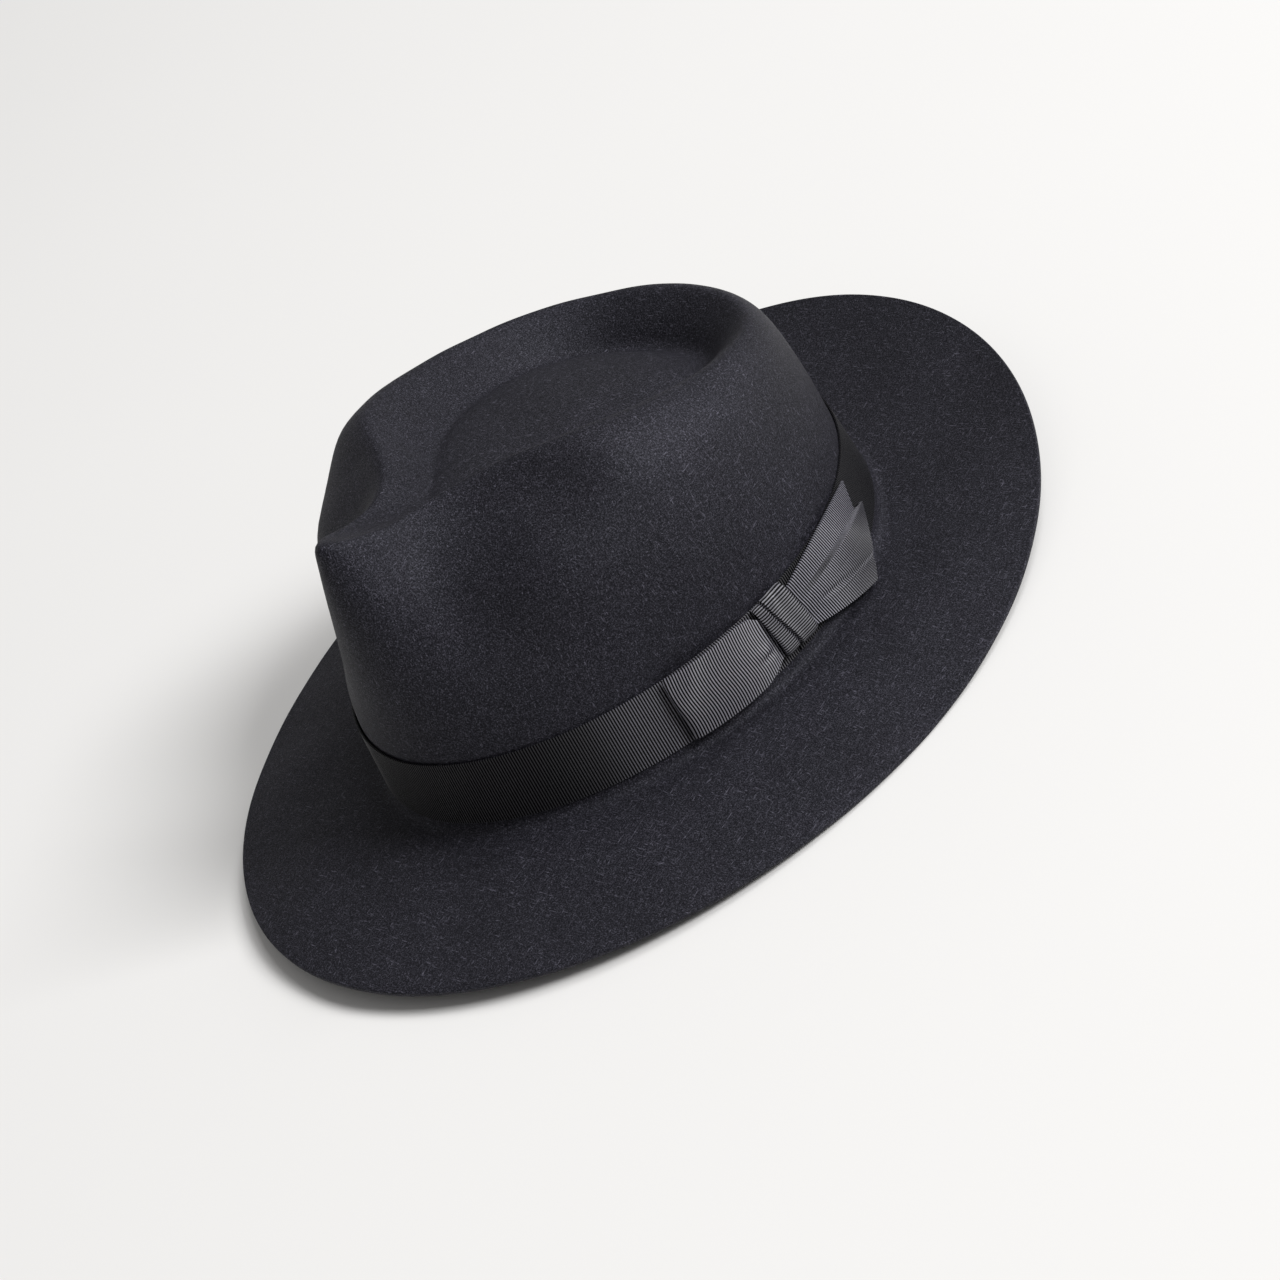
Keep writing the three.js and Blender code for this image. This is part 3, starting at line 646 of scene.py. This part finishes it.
def lining_side():
    """The side band: from behind the sweatband up to the piping, gathered into soft folds."""
    angle = round_the_hat()
    crest = along(LINING_CREST, angle)
    foot = beside(angle, LINING_FOOT_OUT, LINING_FOOT_UP)
    rows = [beside(angle, LINING_LOW_OUT, LINING_LOW), foot]
    for i, slack in zip((0, 1, 3, 5), (0.012, 0.05, 0.06, 0.06), strict=True):
        rows.append(between(foot, crest, lean(angle, i) + slack, WALL_LEVELS[i]))
    rows.append(between(foot, crest, np.full(len(angle), 0.97), 0.965))
    coarse = np.array(rows)
    steps = np.linspace(0, len(rows) - 1, 37)
    k = np.minimum(steps.astype(int), len(rows) - 2)
    outer = lerp(coarse[k], coarse[k + 1], (steps - k)[:, None, None])
    middle = np.zeros_like(outer)
    middle[..., 2] = outer[..., 2] - 12
    inward = unit(middle - outer)
    free = (smooth_step(steps, 1.0, 2.5) * (1 - 0.75 * smooth_step(steps, 4.5, 6)))[:, None]
    gathers = np.abs(np.sin(34 * angle + 1.7 * np.sin(5 * angle)))[None, :]
    outer = outer + inward * (0.7 * free * gathers)[..., None]
    return two_faced("lining_side_band", outer, outer + inward * SATIN_THICK, True)


def lining_piping():
    """A covered cord along the seam between the lining's side band and its tip."""
    angle = round_the_hat()
    centre = along(LINING_CREST, angle)
    ahead = along(LINING_CREST, angle + 0.05) - along(LINING_CREST, angle - 0.05)
    out = unit(np.stack([ahead[:, 1], -ahead[:, 0], 0 * angle], -1))
    turns = [2 * math.pi * i / PIPING_SIDES for i in range(PIPING_SIDES)]
    rows = [centre + out * PIPING_RADIUS * math.cos(a) + (0, 0, PIPING_RADIUS * math.sin(a))
            for a in turns]
    return closed_mesh("lining_cord_piping", np.array(rows), True)


def lining_tip():
    """The satin under the crown's crease, which follows it at a small distance."""
    angle = round_the_hat()
    crest, channel = along(LINING_CREST, angle), along(LINING_CHANNEL, angle)
    top = np.broadcast_to(np.array(LINING_TOP, float), crest.shape)
    rows = [between(crest, channel, share, share) for share in (0.1, 0.28, 0.45, 0.72, 0.93)]
    for share, rise in ((0.1, 0.1), (0.3, 0.62), (0.65, 0.95), (0.85, 1)):
        rows.append(between(channel, top, share, rise))
    rows.append(top)
    upper = b_spline(np.array(rows), 3)
    lower = upper - (0, 0, SATIN_THICK)
    return two_faced("lining_crown_tip", upper, lower, True)


# ------------------------------------------------------------------ materials


class Look:
    """A material's node tree, with short names for the nodes that these looks share."""

    def __init__(self, name, roughness, sheen=0.0, specular=0.5):
        self.material = bpy.data.materials.new(name)
        self.material.use_nodes = True
        self.tree = self.material.node_tree
        self.shader = self.tree.nodes["Principled BSDF"]
        self.shader.inputs["Roughness"].default_value = roughness
        self.shader.inputs["Specular IOR Level"].default_value = specular
        self.shader.inputs["Sheen Weight"].default_value = sheen
        self.shader.inputs["Sheen Roughness"].default_value = 0.4
        self.place = self.tree.nodes.new("ShaderNodeTexCoord").outputs["Object"]

    def link(self, source, target):
        self.tree.links.new(source, target)

    def mapped(self, scale, turn=(0, 0, 0)):
        node = self.tree.nodes.new("ShaderNodeMapping")
        node.inputs["Scale"].default_value = scale
        node.inputs["Rotation"].default_value = turn
        self.link(self.place, node.inputs["Vector"])
        return node.outputs["Vector"]

    def noise(self, scale, detail=2.0, roughness=0.5, vector=None):
        node = self.tree.nodes.new("ShaderNodeTexNoise")
        node.inputs["Scale"].default_value = scale
        node.inputs["Detail"].default_value = detail
        node.inputs["Roughness"].default_value = roughness
        self.link(vector or self.place, node.inputs["Vector"])
        return node.outputs["Fac"]

    def ramp(self, value, stops):
        node = self.tree.nodes.new("ShaderNodeValToRGB")
        ramp = node.color_ramp
        while len(ramp.elements) < len(stops):
            ramp.elements.new(0.5)
        for element, (position, color) in zip(ramp.elements, stops, strict=True):
            element.position = position
            element.color = (*color, 1) if hasattr(color, "__len__") else (color, color, color, 1)
        self.link(value, node.inputs["Fac"])
        return node.outputs["Color"]

    def maths(self, operation, first, second):
        node = self.tree.nodes.new("ShaderNodeMath")
        node.operation = operation
        for socket, value in zip(node.inputs, (first, second), strict=False):
            if isinstance(value, (int, float)):
                socket.default_value = value
            else:
                self.link(value, socket)
        return node.outputs["Value"]

    def mix(self, share, first, second, blend="MIX"):
        node = self.tree.nodes.new("ShaderNodeMix")
        node.data_type = "RGBA"
        node.blend_type = blend
        for name, value in (("Factor", share), ("A", first), ("B", second)):
            sockets = [s for s in node.inputs if s.name == name and s.enabled]
            if isinstance(value, (int, float)):
                sockets[0].default_value = value
            elif isinstance(value, tuple):
                sockets[0].default_value = (*value, 1)
            else:
                self.link(value, sockets[0])
        return next(s for s in node.outputs if s.enabled)

    def colour(self, source):
        self.link(source, self.shader.inputs["Base Color"])

    def bump(self, height, strength, distance):
        node = self.tree.nodes.new("ShaderNodeBump")
        node.inputs["Strength"].default_value = strength
        node.inputs["Distance"].default_value = distance
        self.link(height, node.inputs["Height"])
        self.link(node.outputs["Normal"], self.shader.inputs["Normal"])


def felt_look():
    """Near black felt with a fine grain, and short pale hairs lying in three directions."""
    look = Look("fur_felt", roughness=0.62)
    look.shader.inputs["Specular Tint"].default_value = (0.86, 0.87, 1, 1)
    fine = look.noise(2100, 5, 0.75)
    streaks = None
    for scale, turn in (((260, 1900, 1900), (0.3, 0.5, 0.4)),
                        ((1900, 300, 1900), (0.9, 0.2, 1.3)),
                        ((1900, 1900, 280), (0.4, 1.2, 0.7))):
        fibre = look.noise(1.0, 3, 0.6, look.mapped(scale, turn))
        streaks = fibre if streaks is None else look.maths("MAXIMUM", streaks, fibre)
    base = look.ramp(fine, ((0.36, (0.003, 0.0029, 0.0042)), (0.52, (0.0078, 0.0075, 0.0106)),
                            (0.68, (0.044, 0.042, 0.057))))
    look.link(look.ramp(fine, ((0.36, 0.12), (0.5, 0.24), (0.68, 0.6))),
              look.shader.inputs["Specular IOR Level"])
    flecks = look.ramp(streaks, ((0.62, 0.0), (0.74, 1.0)))
    mixed = look.mix(flecks, base, (0.1, 0.097, 0.125))
    clouds = look.ramp(look.noise(28, 3, 0.5), ((0.3, 0.82), (0.7, 1.15)))
    look.colour(look.mix(1.0, mixed, clouds, "MULTIPLY"))
    look.bump(look.maths("ADD", fine, look.maths("MULTIPLY", streaks, 0.8)), 0.45, 0.0004)
    return look.material


def grosgrain_look():
    """Ribbon with a silky highlight across its ribs, a painted highlight on each rib's top."""
    look = Look("grosgrain", roughness=0.5, specular=1.0)
    look.shader.inputs["Anisotropic"].default_value = 0.85
    look.shader.inputs["Anisotropic Rotation"].default_value = 0.25
    tangent = look.tree.nodes.new("ShaderNodeTangent")
    tangent.direction_type = "RADIAL"
    tangent.axis = "Z"
    look.link(tangent.outputs["Tangent"], look.shader.inputs["Tangent"])
    rib = look.tree.nodes.new("ShaderNodeAttribute")
    rib.attribute_name = "rib"
    yarn = look.noise(2400, 3, 0.6)
    # Colour from the rib value: a painted highlight on each rib's top and painted shade in the
    # grooves between, with the band's painted sheen near the bow.
    shade = look.ramp(rib.outputs["Fac"], ((0.3, 0.01), (0.6, 0.05), (0.8, 0.14), (0.97, 1.0)))
    shade = look.mix(1.0, shade, look.ramp(yarn, ((0.3, 0.7), (0.7, 1.2))), "MULTIPLY")
    look.colour(look.mix(1.0, shade, (0.25, 0.245, 0.295), "MULTIPLY"))
    shine = look.ramp(rib.outputs["Fac"], ((0.35, 0.0), (0.9, 1.0)))
    look.link(shine, look.shader.inputs["Specular IOR Level"])
    return look.material


def leather_look():
    look = Look("sweatband_leather", roughness=0.5, specular=0.45)
    cells = look.tree.nodes.new("ShaderNodeTexVoronoi")
    cells.feature = "DISTANCE_TO_EDGE"
    cells.inputs["Scale"].default_value = 900
    look.link(look.place, cells.inputs["Vector"])
    tone = look.noise(60, 4, 0.6)
    look.colour(look.ramp(tone, ((0.3, (0.016, 0.010, 0.008)), (0.7, (0.034, 0.022, 0.016)))))
    look.link(look.ramp(tone, ((0.3, 0.42), (0.7, 0.58))), look.shader.inputs["Roughness"])
    look.bump(look.ramp(cells.outputs["Distance"], ((0.0, 0.0), (0.12, 1.0))), 0.3, 0.00015)
    return look.material


def satin_look(name, dark, painted_sheen):
    look = Look(name, roughness=0.32, sheen=0.2, specular=0.6)
    look.shader.inputs["Anisotropic"].default_value = 0.5
    threads = look.noise(1.0, 2, 0.5, look.mapped((300, 300, 5200)))
    look.colour(look.ramp(threads, ((0.3, dark), (0.7, painted_sheen))))
    look.bump(threads, 0.12, 0.0001)
    return look.material


def woven_look(name, dark, painted_sheen, scale=1800, roughness=0.8):
    look = Look(name, roughness=roughness, sheen=0.2)
    warp = look.noise(1.0, 1, 0.5, look.mapped((scale, scale, scale / 6)))
    weft = look.noise(1.0, 1, 0.5, look.mapped((scale / 6, scale / 6, scale)))
    weave = look.maths("MAXIMUM", warp, weft)
    look.colour(look.ramp(weave, ((0.4, dark), (0.65, painted_sheen))))
    look.bump(weave, 0.4, 0.0002)
    return look.material


def reed_look():
    look = Look("reed_plastic", roughness=0.4)
    cloudy = look.noise(400, 3, 0.5)
    look.colour(look.ramp(cloudy, ((0.3, (0.42, 0.39, 0.33)), (0.7, (0.6, 0.56, 0.48)))))
    return look.material


def floor_look():
    look = Look("studio_floor", roughness=0.9, specular=0.1)
    cloudy = look.noise(3, 2, 0.5)
    look.colour(look.ramp(cloudy, ((0.0, (0.835, 0.828, 0.818)), (1.0, (0.85, 0.843, 0.833)))))
    return look.material


# ------------------------------------------------------------------ putting it together


def add(piece, node, material):
    """Give a piece its material, and let it stand for its CAD node."""
    piece.data.materials.append(material)
    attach(piece, "root")
    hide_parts(node)
    return piece


def make_hat():
    grosgrain = grosgrain_look()
    satin = satin_look("lining_satin", (0.012, 0.012, 0.02), (0.04, 0.04, 0.06))
    dark_satin = satin_look("piping_satin", (0.008, 0.008, 0.012), (0.02, 0.02, 0.03))
    tape = woven_look("woven_tape", (0.006, 0.006, 0.008), (0.03, 0.03, 0.034))
    add(felt_body(), "felt_body", felt_look())

    band, length = hatband()
    add(band, "hatband_ribbon", grosgrain)
    loop, length = loop_piece()
    add(loop, "bow_loop", grosgrain)
    tail = add(tail_piece(), "bow_tail", grosgrain)
    knot, length = knot_piece()
    add(knot, "bow_knot", grosgrain)

    leather = add(leather_band(), "sweatband", leather_look())
    add(ring_of("sweatband_inner_reed", round_reed(REED_RADIUS, range(0, 360, 30))),
        "sweatband_reed", reed_look())
    reed_cover = add(reed_tape(), "sweatband_reed_tape", tape)
    add(stitches(), "sweatband_stitching",
        woven_look("waxed_thread", (0.02, 0.018, 0.02), (0.07, 0.065, 0.07), 3000, 0.6))
    tab = patch_on_leather("seam_tab", centre=90, half=3.2, low=5.4, high=34, clearance=0.3,
                           thick=0.4)
    add(tab, "sweatband_seam_tab", tape)
    add(rear_bow(), "sweatband_rear_bow", dark_satin)
    label = patch_on_leather("blank_size_label", centre=66, half=4.4, low=18, high=27,
                             clearance=0.3, thick=0.3)
    add(label, "size_label",
        woven_look("woven_label", (0.42, 0.38, 0.3), (0.66, 0.61, 0.5), 1400))
    side = add(lining_side(), "lining_side", satin)
    add(lining_piping(), "lining_piping", dark_satin)
    tip = add(lining_tip(), "lining_tip", satin)


# ------------------------------------------------------------------ camera, lights and floor

CAMERA_AZIMUTH, CAMERA_ELEVATION, CAMERA_ROLL = 56, 33.47, -30.51
CAMERA_DISTANCE, CAMERA_LENS = 0.8883, 73.63
CAMERA_AIM = (0, 0, 0.040)
AIM_RIGHT, AIM_UP = 0.02198, -0.03631  # the aim lies off the middle of the frame by this much
SKY_COLOUR, SKY_STRENGTH = (0.93, 0.92, 0.91, 1), 0.28
FLOOR_REACH = 6
FLOOR_GAP = 0.0006  # from the CAD's lowest point down to the floor


def camera_axes():
    """The camera's right, its up and the way from the hat to it, as unit vectors."""
    a, e = math.radians(CAMERA_AZIMUTH), math.radians(CAMERA_ELEVATION)
    roll = math.radians(CAMERA_ROLL)
    back = Vector((math.sin(a) * math.cos(e), -math.cos(a) * math.cos(e), math.sin(e)))
    level = (-back).cross(Vector((0, 0, 1))).normalized()
    upright = level.cross(-back)
    right = math.cos(roll) * level + math.sin(roll) * upright
    up = -math.sin(roll) * level + math.cos(roll) * upright
    return right, up, back


def add_camera():
    right, up, back = camera_axes()
    data = bpy.data.cameras.new("camera")
    data.lens = CAMERA_LENS
    data.sensor_width = 36
    camera = bpy.data.objects.new("camera", data)
    place = Vector(CAMERA_AIM) + right * AIM_RIGHT + up * AIM_UP + back * CAMERA_DISTANCE
    turn = Matrix((right, up, back)).transposed().to_4x4()
    camera.matrix_world = Matrix.Translation(place) @ turn
    bpy.context.scene.collection.objects.link(camera)
    bpy.context.scene.camera = camera


def area_light(name, angle, elevation, distance, size, watts):
    """A soft square lamp at an angle round the hat, aimed at the crown."""
    a, e = math.radians(angle), math.radians(elevation)
    aim = Vector(CAMERA_AIM)
    towards = Vector((math.cos(a) * math.cos(e), math.sin(a) * math.cos(e), math.sin(e)))
    place = aim + distance * towards
    data = bpy.data.lights.new(name, "AREA")
    data.size = size
    data.energy = watts
    lamp = bpy.data.objects.new(name, data)
    lamp.location = place
    lamp.rotation_euler = (aim - place).to_track_quat("-Z", "Y").to_euler()
    bpy.context.scene.collection.objects.link(lamp)


def add_sky():
    world = bpy.data.worlds.new("studio")
    world.use_nodes = True
    sky = world.node_tree.nodes["Background"]
    sky.inputs["Color"].default_value = SKY_COLOUR
    sky.inputs["Strength"].default_value = SKY_STRENGTH
    bpy.context.scene.world = world


def add_floor():
    mesh = bpy.data.meshes.new("studio_floor")
    low = CAD_BOX[0][2] - FLOOR_GAP
    signs = ((-1, -1), (1, -1), (1, 1), (-1, 1))
    corners = [(x * FLOOR_REACH, y * FLOOR_REACH, low) for x, y in signs]
    mesh.from_pydata(corners, [], [(0, 1, 2, 3)])
    floor = bpy.data.objects.new("studio_floor", mesh)
    mesh.materials.append(floor_look())
    bpy.context.scene.collection.objects.link(floor)


def add_studio():
    add_sky()
    area_light("key", angle=28, elevation=38, distance=6, size=2.2, watts=338)
    area_light("top", angle=70, elevation=60, distance=6, size=2.7, watts=118)
    bpy.context.scene.view_settings.view_transform = "Standard"
    add_floor()


add_camera()
make_hat()
add_studio()
